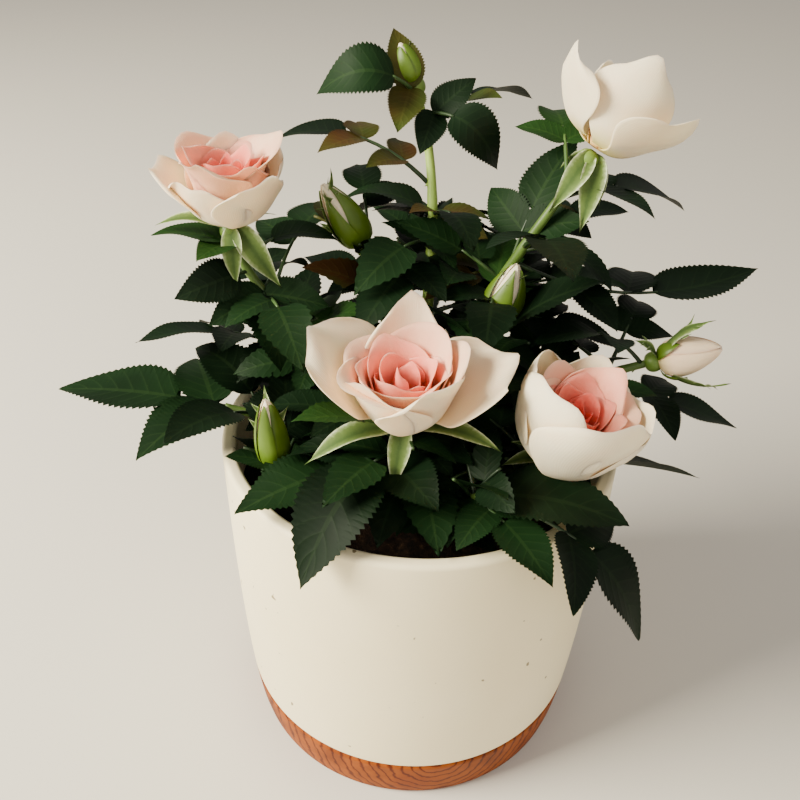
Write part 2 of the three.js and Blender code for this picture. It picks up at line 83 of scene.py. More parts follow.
def place_camera():
    """Looking straight down, it is turned up about X to its pitch and then rolled."""
    camera = add_object("camera", bpy.data.cameras.new("camera"))
    camera.data.lens = FOCAL_LENGTH
    camera.data.sensor_width = SENSOR_WIDTH
    camera.data.clip_start = 0.01
    turn = Matrix.Rotation(math.pi / 2 - PITCH, 4, "X") @ Matrix.Rotation(ROLL, 4, "Z")
    camera.matrix_world = Matrix.Translation(CAMERA_PLACE) @ turn
    bpy.context.scene.camera = camera


def soft_light(name, place, size, watts, tint):
    """A square light at a place, facing the middle of the plant."""
    light = add_object(name, bpy.data.lights.new(name, "AREA"))
    light.data.size = size
    light.data.energy = watts
    light.data.color = linear(tint)[:3]
    light.location = place
    light.rotation_euler = (PLANT_MIDDLE - light.location).to_track_quat("-Z", "Y").to_euler()


place_camera()
soft_light("window_light", (-1.0, -0.3, 0.75), 0.6, 54.0, "fff8e0")
soft_light("front_fill", (0.35, -1.1, 0.9), 1.2, 6.0, "fff6ea")
world = bpy.data.worlds.new("studio")
world.use_nodes = True
sky = {"Color": linear("f6f1e8"), "Strength": 0.55}
feed(world.node_tree, world.node_tree.nodes["Background"], sky)
bpy.context.scene.world = world

bpy.ops.mesh.primitive_plane_add(size=6)
floor = bpy.context.object
floor.name = "floor"
floor.data.materials.append(new_material("floor_paper", "d8d2c8", 0.9, 0.2)[0])

# The pot
# Slip-cast stoneware with a matt cream glaze. Its wall swells from the foot in a quarter ellipse and ends in
# a thin rounded lip; a narrower foot drops into the wooden base, so a sharp lower edge overhangs the wood.
RIM_RADIUS = 65.0
POT_HEIGHT = 120.0
FOOT_RADIUS = 58.0
NEST_RADIUS = 50.0
WALL = 4.5
LIP_ROUND = 1.6
CLEAR = 0.3
BASE_FLOOR = 7.0
BASE_HEIGHT = 20.0
ROUND_SIDES = 160


def body_radius(height):
    """Foot plus (rim - foot) times the root of 1 - (1 - height/pot height) squared: a quarter ellipse."""
    return FOOT_RADIUS + (RIM_RADIUS - FOOT_RADIUS) * np.sqrt(1 - (1 - height / POT_HEIGHT) ** 2)


def arc(radius, height, size, start, stop, steps):
    """Points on a circle of that size about (radius, height), from one angle in degrees to another."""
    angles = np.radians(np.linspace(start, stop, steps))
    return np.stack([radius + size * np.cos(angles), height + size * np.sin(angles)], 1)


def wall_line(low, high, inset, steps):
    """The body's line between two heights, drawn in by an inset."""
    heights = np.linspace(low, high, steps)
    return np.stack([body_radius(heights) - inset, heights], 1)


def grid_triangles(rows, columns, around):
    """Two triangles for each cell of a grid; one that goes around joins its last column to its first."""
    steps = columns if around else columns - 1
    row, column = np.meshgrid(np.arange(rows - 1), np.arange(steps), indexing="ij")
    here = (row * columns + column).ravel()
    beside = (row * columns + (column + 1) % columns).ravel()
    lower = np.stack([here, beside, beside + columns], 1)
    upper = np.stack([here, beside + columns, here + columns], 1)
    return np.concatenate([lower, upper])


def mesh_piece(name, material, slot, replaced, *parts):
    """An object at the origin. Each part has the points of n like shapes in millimetres, the triangles of
    one shape, and numbers for its points by name. An edge with both ends on a margin is sharp."""
    points, triangles, values, start = [], [], {}, 0
    for shapes, faces, numbers in parts:
        n, count, _ = shapes.shape
        points.append(shapes.reshape(-1, 3))
        triangles.append((faces + start + (np.arange(n) * count)[:, None, None]).reshape(-1, 3))
        start += n * count
        for key, part in numbers.items():
            values.setdefault(key, []).append(np.broadcast_to(part, (n, count)).ravel())
    mesh = bpy.data.meshes.new(name)
    mesh.from_pydata(np.concatenate(points) * MM, [], np.concatenate(triangles), shade_flat=False)
    for key, numbers in values.items():
        values[key] = np.concatenate(numbers).astype(np.float32)
        mesh.attributes.new(key, "FLOAT", "POINT").data.foreach_set("value", values[key])
    if "margin" in values:
        ends = np.empty(2 * len(mesh.edges), np.int32)
        mesh.edges.foreach_get("vertices", ends)
        on_margin = values["margin"][ends].reshape(-1, 2).min(1) > 0.5
        mesh.attributes.new("sharp_edge", "BOOLEAN", "EDGE").data.foreach_set("value", on_margin)
    mesh.validate()
    mesh.materials.append(material)
    piece = add_object(name, mesh)
    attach(piece, "root")
    if replaced:
        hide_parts(*replaced)


def tube_triangles(rings, sides):
    """The closed skin of rings of so many points, with one more point before the first and one after the
    last."""
    step = np.arange(sides)
    after = (step + 1) % sides
    count = rings * sides
    last = count - sides
    low = np.stack([np.full(sides, count), after, step], 1)
    high = np.stack([np.full(sides, count + 1), last + step, last + after], 1)
    return np.concatenate([grid_triangles(rings, sides, True), low, high])


def turned(profile, sides=ROUND_SIDES):
    """A half section from the axis and back to it, carried round Z: side k is at angle 2 pi k / sides."""
    ring = profile[1:-1]
    angles = np.arange(sides) * 2 * np.pi / sides
    x = ring[:, :1] * np.cos(angles)
    y = ring[:, :1] * np.sin(angles)
    z = np.broadcast_to(ring[:, 1:], x.shape)
    poles = np.array([[0, 0, profile[0, 1]], [0, 0, profile[-1, 1]]])
    points = np.concatenate([np.stack([x, y, z], 2).reshape(-1, 3), poles])
    return points[None], tube_triangles(len(ring), sides), {}


lip = POT_HEIGHT - LIP_ROUND
pot_floor = BASE_FLOOR + CLEAR + WALL
shoulder = BASE_HEIGHT + CLEAR
pot_profile = np.concatenate([
    [[0, BASE_FLOOR + CLEAR]],
    arc(NEST_RADIUS - 0.8, BASE_FLOOR + CLEAR + 0.8, 0.8, -90, 0, 4),
    [[NEST_RADIUS, shoulder - 0.2], [NEST_RADIUS + 0.2, shoulder]],
    arc(body_radius(shoulder) - 0.9, shoulder + 0.9, 0.9, -90, -6, 5),
    wall_line(shoulder + 1.6, lip, 0, 26),
    arc(RIM_RADIUS - LIP_ROUND, lip, LIP_ROUND, 12, 90, 6),
    arc(RIM_RADIUS - WALL + LIP_ROUND, lip, LIP_ROUND, 90, 168, 6),
    wall_line(shoulder + 1 + WALL, lip, WALL, 12)[::-1],
    [[NEST_RADIUS - WALL, shoulder + 1], [NEST_RADIUS - WALL, pot_floor], [0, pot_floor]],
])


def add_node(tree, kind, inputs=None, **settings):
    """A shader node with its settings made and its inputs fed."""
    node = tree.nodes.new(kind)
    for key, value in settings.items():
        setattr(node, key, value)
    feed(tree, node, inputs or {})
    return node


def object_place(tree):
    """Where a point lies in the object's own coordinates."""
    return add_node(tree, "ShaderNodeTexCoord").outputs["Object"]


def noise(tree, place, scale, detail=3.0, roughness=0.5):
    """A noise pattern read at a place; gives its factor."""
    inputs = {"Vector": place, "Scale": scale, "Detail": detail, "Roughness": roughness}
    return add_node(tree, "ShaderNodeTexNoise", inputs).outputs["Fac"]


def ramp(tree, factor, *stops):
    """A colour ramp through (place, colour code) stops."""
    node = add_node(tree, "ShaderNodeValToRGB", {"Fac": factor})
    elements = node.color_ramp.elements
    while len(elements) < len(stops):
        elements.new(0.5)
    for element, (place, code) in zip(elements, stops):
        element.position = place
        element.color = linear(code)
    return node.outputs["Color"]


def mixed(tree, kind, factor, under, over):
    """Two colours mixed in a way and by a share."""
    inputs = {"Factor": factor, "A": under, "B": over}
    return add_node(tree, "ShaderNodeMix", inputs, data_type="RGBA", blend_type=kind).outputs["Result"]


def paint(material, colour, height, strength, distance):
    """A colour for a material, and a height as a bent normal; its distance is in millimetres."""
    tree = material.node_tree
    inputs = {"Strength": strength, "Distance": distance * MM, "Height": height}
    bent = add_node(tree, "ShaderNodeBump", inputs).outputs["Normal"]
    feed(tree, tree.nodes["Principled BSDF"], {"Base Color": colour, "Normal": bent})
    return material


def matt_glaze():
    """Cream glaze: a faint cloudiness, a few tiny iron specks, and a fine tooth in the surface."""
    material, tree = new_material("matt_glaze", "f6e8be", 0.5, 0.3)
    place = object_place(tree)
    cloud = ramp(tree, noise(tree, place, 14), (0.3, "f5e6bc"), (0.7, "fbeec8"))
    speck = ramp(tree, noise(tree, place, 260, 1), (0.755, "ffffff"), (0.79, "8f8878"))
    tooth = noise(tree, place, 90, 4, 0.6)
    return paint(material, mixed(tree, "MULTIPLY", 1.0, cloud, speck), tooth, 0.25, 0.2)


mesh_piece("pot_body", matt_glaze(), "glaze", ["pot"], turned(pot_profile))

# The wooden base
# A saucer turned from one piece of warm hardwood and oiled. Its side carries on the pot's line, its lower
# edge is rounded, and its dark grain slants down to the middle of the front from both sides.
BASE_EDGE = 2.5
LOG_HEART = (10.0, 0.0, 23.0)

base_profile = np.concatenate([
    [[0, 0]],
    arc(body_radius(BASE_EDGE) - BASE_EDGE, BASE_EDGE, BASE_EDGE, -90, 0, 8),
    wall_line(BASE_EDGE + 1, BASE_HEIGHT - 0.5, 0, 10),
    [[body_radius(BASE_HEIGHT) - 0.5, BASE_HEIGHT], [NEST_RADIUS + 1.1, BASE_HEIGHT]],
    [[NEST_RADIUS + 0.5, BASE_HEIGHT - 0.6], [NEST_RADIUS + 0.5, BASE_FLOOR], [0, BASE_FLOOR]],
])


def oiled_wood():
    """Orange-brown wood: growth rings about a log's heart that lies above the base and runs front to back,
    so that thin dark lines slant down to the middle from both sides; soft mottling and an oil finish."""
    material, tree = new_material("oiled_wood", "a65a26", 0.55, 0.2)
    place = object_place(tree)
    shift = [-part * MM for part in LOG_HEART]
    log = add_node(tree, "ShaderNodeMapping", {"Vector": place, "Location": shift}).outputs["Vector"]
    inputs = {"Vector": log, "Scale": 92, "Distortion": 5, "Detail": 3, "Detail Scale": 1.6}
    wave = add_node(tree, "ShaderNodeTexWave", inputs, wave_type="RINGS", rings_direction="Y")
    rings = wave.outputs["Fac"]
    lines = ramp(tree, rings, (0.0, "84543a"), (0.08, "b48a68"), (0.3, "ffffff"))
    mottled = ramp(tree, noise(tree, place, 55, 5, 0.6), (0.3, "6a3007"), (0.5, "8e480c"), (0.7, "7e3a08"))
    return paint(material, mixed(tree, "MULTIPLY", 0.9, mottled, lines), rings, 0.15, 0.1)


mesh_piece("turned_base", oiled_wood(), "wood", ["base"], turned(base_profile))

# The soil
# Dark, damp potting mix that fills the pot to 22 mm below the rim. Its top is uneven and crumbly, with
# lighter fibres in it.
SOIL_LEVEL = 98.0
SOIL_EDGE = 58.5


def soil_profile(rings=34):
    """The pot's inside less a gap, closed by a level top that the relief then disturbs."""
    inner = wall_line(shoulder + 1 + WALL, SOIL_LEVEL, WALL + CLEAR, 6)
    top = np.stack([np.linspace(inner[-1, 0] - 1.5, 0, rings), np.full(rings, SOIL_LEVEL)], 1)
    well = NEST_RADIUS - WALL - CLEAR
    low = [[0, pot_floor + CLEAR], [well, pot_floor + CLEAR], [well, shoulder + 1]]
    return np.concatenate([low, inner, top])


def crumbled(points):
    """Lowers the top by crossing sine ripples, their bumps 3, 6 and 15 mm wide, never above its level."""
    x, y, z = np.moveaxis(points, -1, 0)
    ripple = sum(
        depth * np.sin(x / size + 3 * np.sin(y / size / 1.7)) * np.cos(y / size + 2 * np.sin(x / size / 1.3))
        for size, depth in ((0.9, 0.35), (1.9, 0.6), (4.6, 0.9))
    )
    top = (z > SOIL_LEVEL - 0.1) & (np.hypot(x, y) < SOIL_EDGE)
    return np.stack([x, y, np.where(top, z - 1.9 + ripple, z)], -1)


def damp_soil():
    """Near-black brown with lighter fibres, rough all over."""
    material, tree = new_material("damp_soil", "2a1f17", 0.95, 0.2)
    crumbs = noise(tree, object_place(tree), 420, 4, 0.65)
    colour = ramp(tree, crumbs, (0.35, "120d09"), (0.6, "2c2018"), (0.72, "4d3a2a"))
    return paint(material, colour, crumbs, 0.8, 1.2)


soil, *soil_faces = turned(soil_profile(), 96)
mesh_piece("soil_top", damp_soil(), "earth", ["soil"], (crumbled(soil), *soil_faces))

# Canes and stems
# Each shoot is a green rose cane that rises from the soil, thins evenly, and curves over into its flower the
# way that the flower faces. Small prickles stand along it.
CANE_RADIUS = 2.6
SHOOT_TIP_RADIUS = 1.15
GOLDEN_ANGLE = 137.5
UP = np.array([0.0, 0.0, 1.0])

# Name, foot (azimuth, reach), tip (azimuth, reach, height), the way the flower faces, leaves grown by rule.
SHOOTS = {
    "front": ((265, 16), (260, 31, 145), (262, 82), 3),
    "left": ((160, 14), (166, 62, 184), (300, 84), 3),
    "right_front": ((320, 18), (326, 48, 131), (313, 70), 5),
    "tall_right": ((68, 26), (22.7, 52, 207.5), (25, 55), 3),
    "tall_back": ((95, 12), (97, 50, 219), (165, 66), 2),
    "back_left": ((130, 18), (125, 37, 172), (185, 58), 5),
    "centre": ((325, 13), (23, 25, 156), (0, 76), 2),
    "right": ((0, 22), (3.7, 77.4, 145.2), (350, 22), 4),
    "left_low": ((205, 20), (209, 51, 123), (200, 86), 2),
    "far_left": ((180, 22), (182, 64, 127), (180, 20), 2),
    "front_right": ((300, 22), (291, 47, 128), (300, 50), 4),
    "back_right": ((50, 22), (52, 58, 170), (60, 70), 5),
    "back": ((90, 24), (100, 62, 158), (90, 65), 5),
    "back_low_left": ((150, 26), (150, 66, 145), (150, 60), 5),
}


def direction(azimuth, rise):
    """Unit vectors from azimuth and rise in degrees: (cos a cos r, sin a cos r, sin r)."""
    a, r = np.radians(azimuth), np.radians(rise)
    return np.stack([np.cos(a) * np.cos(r), np.sin(a) * np.cos(r), np.sin(r) + 0 * a], -1)


def unit(vectors):
    """Vectors divided by their lengths."""
    return vectors / np.linalg.norm(vectors, axis=-1, keepdims=True)


def square_to(vectors, axes):
    """The part of each vector that is square to a unit axis, at unit length."""
    return unit(vectors - (vectors * axes).sum(-1, keepdims=True) * axes)


def shoot_controls(name):
    """The four control points of a shoot's cubic curve: foot, straight above it, behind the flower, tip."""
    foot, (azimuth, reach, height), faces, _ = SHOOTS[name]
    start = direction(foot[0], 0) * foot[1] + UP * (SOIL_LEVEL + CLEAR)
    end = direction(azimuth, 0) * reach + UP * height
    span = np.linalg.norm(end - start)
    return np.array([start, start + UP * 0.4 * span, end - direction(*faces) * 0.3 * span, end])


def cubic(controls, share):
    """Point on a cubic Bezier curve: (1-s)^3 a + 3 (1-s)^2 s b + 3 (1-s) s^2 c + s^3 d."""
    s = np.asarray(share, float)[..., None]
    a, b, c, d = controls
    return (1 - s) ** 3 * a + 3 * (1 - s) ** 2 * s * b + 3 * (1 - s) * s**2 * c + s**3 * d


def tubes(lines, radii, side, sides):
    """Round limbs, one for each of n lines of k points: ring k lies square to the line's own direction, at
    radius k, and a point closes each end. `side` is any direction across each line, or one across all."""
    n, k, _ = lines.shape
    along = unit(np.gradient(lines, axis=1))
    across = square_to(np.broadcast_to(side[..., None, :], lines.shape), along)
    front = np.cross(along, across)
    angles = np.arange(sides) * 2 * np.pi / sides
    ring = across[:, :, None] * np.cos(angles)[:, None] + front[:, :, None] * np.sin(angles)[:, None]
    wide = np.broadcast_to(radii, (n, k))[..., None, None]
    body = (lines[:, :, None] + ring * wide).reshape(n, k * sides, 3)
    return np.concatenate([body, lines[:, :1], lines[:, -1:]], 1), tube_triangles(k, sides), {}


def shoot_limbs(names):
    """The whole cane and stem of each shoot, its radius falling evenly from foot to tip, with slight nodes
    where leaves stand."""
    share = np.linspace(0, 1, 34)
    lines = np.array([cubic(shoot_controls(name), share) for name in names])
    radius = CANE_RADIUS + (SHOOT_TIP_RADIUS - CANE_RADIUS) * share
    nodes = 1 + 0.07 * np.maximum(0, np.sin(share * 40)) ** 6
    return tubes(lines, radius * nodes, unit(np.cross(lines[:, -1] - lines[:, 0], UP)), 12)


def prickles(names, each=6):
    """Small hooked prickles: three-ring cones, a golden angle round the cane from one to the next."""
    share = (np.arange(each) + 0.6) / (each + 0.5)
    cones = []
    for name in names:
        controls = shoot_controls(name)
        foot = cubic(controls, share)
        along = unit(cubic(controls, share + 0.01) - foot)
        first = square_to(np.broadcast_to(np.array([1.0, 0.2, 0.0]), along.shape), along)
        turn = np.radians(GOLDEN_ANGLE * np.arange(each))[:, None]
        out = first * np.cos(turn) + np.cross(along, first) * np.sin(turn)
        size = (1.0 - 0.5 * share)[:, None]
        cones.append(np.stack([foot, foot + out * 2.6 * size, foot + (out * 3.9 - along * 0.9) * size], 1))
    return tubes(np.concatenate(cones), [0.9, 0.5, 0.08], UP + 0.1, 5)


def new_group(name, inputs, outputs):
    """A shader node group with named inputs and outputs of given kinds; gives it and what it is given."""
    group = bpy.data.node_groups.new(name, "ShaderNodeTree")
    for way, sockets in (("INPUT", inputs), ("OUTPUT", outputs)):
        for socket, kind in sockets.items():
            group.interface.new_socket(socket, in_out=way, socket_type="NodeSocket" + kind)
    return group, group.nodes.new("NodeGroupInput").outputs


def patch_group():
    """Group: patches of two colours by a noise pattern, the old one below 0.35 and the young above 0.65."""
    inputs = {"Place": "Vector", "Scale": "Float", "Detail": "Float", "Old": "Color", "Young": "Color"}
    group, given = new_group("two_tone_patches", inputs, {"Colour": "Color"})
    cloud = noise(group, given["Place"], given["Scale"], given["Detail"])
    share = add_node(group, "ShaderNodeMapRange", {"Value": cloud, "From Min": 0.35, "From Max": 0.65})
    colour = mixed(group, "MIX", share.outputs["Result"], given["Old"], given["Young"])
    add_node(group, "NodeGroupOutput", {"Colour": colour})
    return group


PATCHES = patch_group()


def patched(tree, scale, detail, old, young):
    """The patches in one material, at its own scale and in its own colours."""
    inputs = {"Place": object_place(tree), "Scale": scale, "Detail": detail,
              "Old": linear(old), "Young": linear(young)}
    return add_node(tree, "ShaderNodeGroup", inputs, node_tree=PATCHES).outputs["Colour"]


def green_cane(name, young, old):
    """Smooth green skin in patches of two tones, with a fine unevenness."""
    material, tree = new_material(name, young, 0.45, 0.4)
    bark = patched(tree, 60, 3, old, young)
    return paint(material, bark, noise(tree, object_place(tree), 700), 0.25, 0.2)


grown_canes = [name for name in SHOOTS if name != "tall_back"]
for piece, names, young, old in (("canes", grown_canes, "5d7a35", "3d4f24"),
                                 ("young_cane", ["tall_back"], "9dbb58", "86a548")):
    mesh_piece(piece, green_cane(piece, young, old), "bark", ["cane_" + name for name in names],
               shoot_limbs(names), prickles(names))

# Leaves
# Rose leaves of three or five toothed leaflets on a thin stalk, dark green with a faint gloss, each folded a
# little along its midrib. Young leaves near the tips are still bronze.
LEAFY_FROM = 0.3
RACHIS_RADIUS = 0.8
BLADE_WIDTH = 0.62
BLADE_FOLD = 0.2
BLADE_SINK = 0.4
SIDE_SPREAD = math.radians(62)
FILLING_LEAVES = 34
FILLING_REACH = 66.0
FILLING_TOP = 186.0
RULE_SEED = 100
FILLING_SEED = 300
TIP_MATCH = 0.6
VEIN_PAIRS = 8
VEIN_SLANT = 0.2
TO_THE_LIGHT = np.array([0.0, -0.82, 0.57])
# How far a filling leaf and a low one keep from all else, and from the lines on which sepals are seen.
FILLING_ROOM = (1.3, 3)
LOW_ROOM = (0.5, 2)

# How finely a blade is made: rows along it, places across it, and how far its teeth stand out. The leaflets
# that fill the inside of the crown are plain and light.
FINE_BLADE = (44, (-1, -0.82, 0, 0.82, 1), 1)
PLAIN_BLADE = (20, (-1, 0, 1), 1)

# For each shoot the leaves that are placed one by one: share of the shoot, azimuth, rise and reach of the
# tip, length of the end leaflet, number of leaflets, roll, and the stalk's arch as a share of the reach.
PLACED_LEAVES = {
    "front": [(0.5, 237, -11, 55, 35, 3, 0, 0.28), (0.4, 212, 6, 59, 32, 3, 0, 0.1),
        (0.5, 285, 10, 56, 28, 3, 0, 0.15)],
    "left": [(0.72, 291, -41, 28, 27, 3, 0, 0.2), (0.9, 183, 8, 26, 22, 3, 0, 0.1),
        (0.8, 220, -4, 26, 22, 1, 50, 0.1), (0.84, 20, 4, 32, 22, 1, 0, 0.2),
        (0.6, 22, 19, 27, 22, 3, 0, 0.15)],
    "right_front": [(0.8, 353, 1, 49, 34, 1, 30, 0.05)],
    "tall_right": [(0.6, 48, 49, 45.5, 27, 3, 0, 0.1), (0.84, 19, -11, 47, 29, 3, 0, 0.12),
        (0.74, 327, -13, 41, 30, 1, 0, 0.1), (0.62, 9.5, -4.5, 85, 35, 5, 0, -0.12),
        (0.5, 4, 3, 44, 27, 5, 0, 0.1), (0.42, 344, -5, 48, 24, 3, 0, 0.1)],
    "tall_back": [(0.95, 185, 0, 32, 24, 3, 45, 0.45), (0.9, 342, -30, 30, 21, 3, -45, 0.5),
        (0.7, 162, 9, 56, 24, 5, 0, 0.16), (0.62, 173, 6, 31, 29, 1, 0, 0.18),
        (0.6, 24, 34, 28, 24, 3, 0, -0.12)],
    "back_left": [(0.7, 308, 43, 33, 30, 3, 0, 0.15)],
    "centre": [(0.6, 197, 60, 35, 30, 3, 0, 0.15), (0.7, 350, 44, 50, 34, 1, 0, 0.12),
        (0.5, 262, 50, 38, 28, 3, 0, 0.2)],
    "right": [(0.7, 351, -15, 50, 25, 3, 0, 0.02)],
    "left_low": [(0.6, 233, 9, 43, 24, 3, 0, 0.2)],
    "far_left": [(0.97, 174, 1, 58, 42, 5, 0, 0.04), (0.8, 236, 17, 40, 30, 1, 0, 0.1),
        (0.75, 140, 19, 36, 29, 1, 0, 0.2)],
    "front_right": [(1, 336, -34, 63, 31, 3, 0, 0.2), (0.9, 342, 4, 44, 43, 1, 0, 0.1),
        (0.8, 300, 0, 40, 24, 3, 0, 0.1)],
}
# Small leaves low in front that hide the soil, given in the same way.
LOW_LEAVES = {
    "front": [(0.2, 257, 17, 47, 22, 3, 0, 0.2), (0.15, 278, 19, 50, 24, 3, 0, 0.2),
        (0.3, 268, 11, 46, 22, 3, 0, 0.2), (0.1, 277, 16, 29, 18, 3, 0, 0.2),
        (0.12, 262, 17, 25, 16, 3, 0, 0.2)],
    "front_right": [(0.25, 272, 21, 42, 22, 3, 0, 0.2), (0.25, 264, 21, 41, 22, 3, 0, 0.2),
        (0.1, 262, 23, 27, 18, 3, 0, 0.2)],
    "left_low": [(0.3, 269, 16, 52, 24, 3, 0, 0.2)],
}

# Sepals as (azimuth about the flower, rise, length).
SEPALS = {
    "front": [(202, -12, 30), (258, -48, 21), (342, -5, 28), (60, -20, 18), (125, -20, 18)],
    "left": [(180, -4, 22), (288, -70, 20), (340, -50, 25), (30, 5, 14), (110, -30, 14)],
    "right_front": [(190, -25, 15), (165, -5, 12), (290, -55, 14), (330, -45, 15), (70, -30, 14)],
    "tall_right": [(250, -86, 22), (343, -67, 24), (7, -50, 16), (60, -50, 14), (110, -40, 12)],
    "tall_back": [(0, 78, 13), (60, 50, 6)],
    "back_left": [(180, 45, 20), (0, 82, 28), (270, 78, 25)],
    "centre": [(200, 80, 20), (320, 80, 21)],
    "right": [(155, 66, 22), (300, 64, 23), (175, -25, 13)],
    "left_low": [(100, 80, 27), (300, 70, 10)],
}


def rule_leaf(azimuth, k, share, between):
    """A shoot's own leaf: a golden angle round from the last, higher, more upright and smaller."""
    reach = between(44, 56) * (1.08 - 0.25 * share)
    turn = azimuth + GOLDEN_ANGLE * (k + 1) + between(-20, 20)
    rise = between(-12, 6) + 22 * share
    blade = between(0.48, 0.56) * reach
    at = LEAFY_FROM + 0.06 + (0.92 - LEAFY_FROM) * share
    return at, turn, rise, reach, blade, 5 if share < 0.5 else 3, between(-15, 15), between(0.1, 0.2)


def filling_leaf(azimuth, k, share, between):
    """A smaller leaf between a shoot's own, by the same golden angle begun half a turn away."""
    reach = between(26, 44)
    turn = azimuth + 180 + GOLDEN_ANGLE * k + between(-25, 25)
    return (0.06 + 0.9 * share, turn, between(-10, 45), reach, between(0.55, 0.7) * reach,
            5 if k % 3 == 0 else 3, between(-25, 25), between(0.08, 0.2))


def leaves_by(rule, azimuth, count, seed):
    """So many leaves by a rule, at even shares of their shoot. Chance is a repeatable run: each number is
    the one before times 1664525 plus 1013904223, modulo 2 to the 32."""
    state = seed

    def between(low, high):
        nonlocal state
        state = (state * 1664525 + 1013904223) % 2**32
        return low + (high - low) * (state / 2**32)

    return [rule(azimuth, k, (k + 0.5) / count, between) for k in range(count)]


def quadratic(start, middle, end, share):
    """Point on a quadratic Bezier curve: (1-s)^2 a + 2 (1-s) s b + s^2 c."""
    s = np.asarray(share, float)[..., None]
    return (1 - s) ** 2 * start + 2 * (1 - s) * s * middle + s**2 * end


def leaf_plan(name, leaf):
    """A leaf's stalk line and its blades (root, tip, upper side, bulge): the end leaflet, then pairs that
    stand 62 degrees off the stalk, each pair shorter than the one before."""
    share, azimuth, rise, reach, length, leaflets, roll, arch = leaf
    base = cubic(shoot_controls(name), share)
    along = direction(azimuth, rise)
    level = square_to(UP, along)
    beside = np.cross(level, along)
    up = level * math.cos(math.radians(roll)) + beside * math.sin(math.radians(roll))
    across = np.cross(up, along)
    tip = base + along * reach
    middle = (base + tip) / 2 + up * 2 * arch * reach
    end = max(1 - length / reach, 0.12)
    blades = [(quadratic(base, middle, tip, end), tip, up, arch * reach * (1 - end) ** 2)]
    for pair in range((leaflets - 1) // 2):
        at = max(end - (0.26 + 0.6 * pair) * length / reach, 0.08)
        ahead = unit((1 - at) * (middle - base) + at * (tip - middle))
        reached = length * (0.8 - 0.1 * pair)
        for side in (1, -1):
            heading = unit(ahead * math.cos(SIDE_SPREAD) + across * side * math.sin(SIDE_SPREAD) - up * 0.14)
            root = quadratic(base, middle, tip, at) - heading * BLADE_SINK
            blades.append((root, root + heading * reached, square_to(up, heading), 0.07 * reached))
    stalk = quadratic(base, middle, tip, np.linspace(0, end + 0.02, 9))
    return stalk, up, blades


def nearest(points, others):
    """For each point, how far off the nearest of the others is."""
    return np.sqrt(((points[:, None] - others[None]) ** 2).sum(-1)).min(1)


def node_points(name):
    """A CAD node's corner points in millimetres."""
    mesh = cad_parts[name].data
    points = np.empty(3 * len(mesh.vertices), np.float32)
    mesh.vertices.foreach_get("co", points)
    return points.reshape(-1, 3) / MM


def blade_samples(root, tip, up, bulge):
    """Points that stand for a blade when its room is looked at: along its middle and along both margins."""
    share = np.linspace(0.12, 1, 6)
    middle = (root + tip) / 2 + up * 2 * bulge
    spine = quadratic(root, middle, tip, share)
    across = np.cross(up, unit(tip - root)) * (0.3 * np.linalg.norm(tip - root))
    spread = (np.sin(np.pi * share) ** 0.7)[:, None]
    return np.concatenate([spine, spine + across * spread, spine - across * spread])


def flower(name):
    """A shoot's tip, and its flower's axis, a side that points to +X as far as it can, and the third
    direction square to both."""
    axis = direction(*SHOOTS[name][2])
    side = square_to(np.array([1.0, 0, 0]), axis)
    return shoot_controls(name)[3], (axis, side, np.cross(axis, side))


def around(axes, turn):
    """Unit vectors square to the flower's axis at a turn in degrees: side cos t + back sin t."""
    angle = np.radians(turn)[..., None]
    return axes[1] * np.cos(angle) + axes[2] * np.sin(angle)


def sepal_heading(axes, turn, rise):
    """Which way a sepal points: its turn about the flower's axis and its rise along it, in degrees."""
    rise = math.radians(rise)
    return around(axes, np.float64(turn)) * math.cos(rise) + axes[0] * math.sin(rise)


def has_room(samples, taken, clear):
    """Clear of what is there already, of the soil and of the pot's wall, and within the crown."""
    height = samples[:, 2]
    off_axis = np.hypot(samples[:, 0], samples[:, 1])
    outside = (height < SOIL_LEVEL + 3) | (off_axis > FILLING_REACH) | (height > FILLING_TOP)
    in_wall = (height < POT_HEIGHT + 2) & (off_axis > RIM_RADIUS - WALL - 1.5)
    return not (outside | in_wall).any() and nearest(samples, taken).min() > clear


def off_sepals(blade, sepals_seen, clear=3):
    """A blade clear of the lines on which the sepals are seen from the front."""
    return nearest(blade_samples(*blade), sepals_seen).min() > clear


def sight_lines():
    """Points before each flower, which is kept open to the light, and before each sepal."""
    before = np.linspace(2, 34, 12)[:, None] * TO_THE_LIGHT
    flowers_seen, sepals_seen = [], []
    for name in SEPALS:
        tip, axes = flower(name)
        flowers_seen += [tip + axes[0] * height + before for height in (0, 8, 16)]
        sepals_seen += [tip + sepal_heading(axes, turn, rise) * length * reached + before * 0.6
                        for turn, rise, length in SEPALS[name] for reached in (0.4, 0.7, 1.0)]
    return flowers_seen, np.concatenate(sepals_seen)


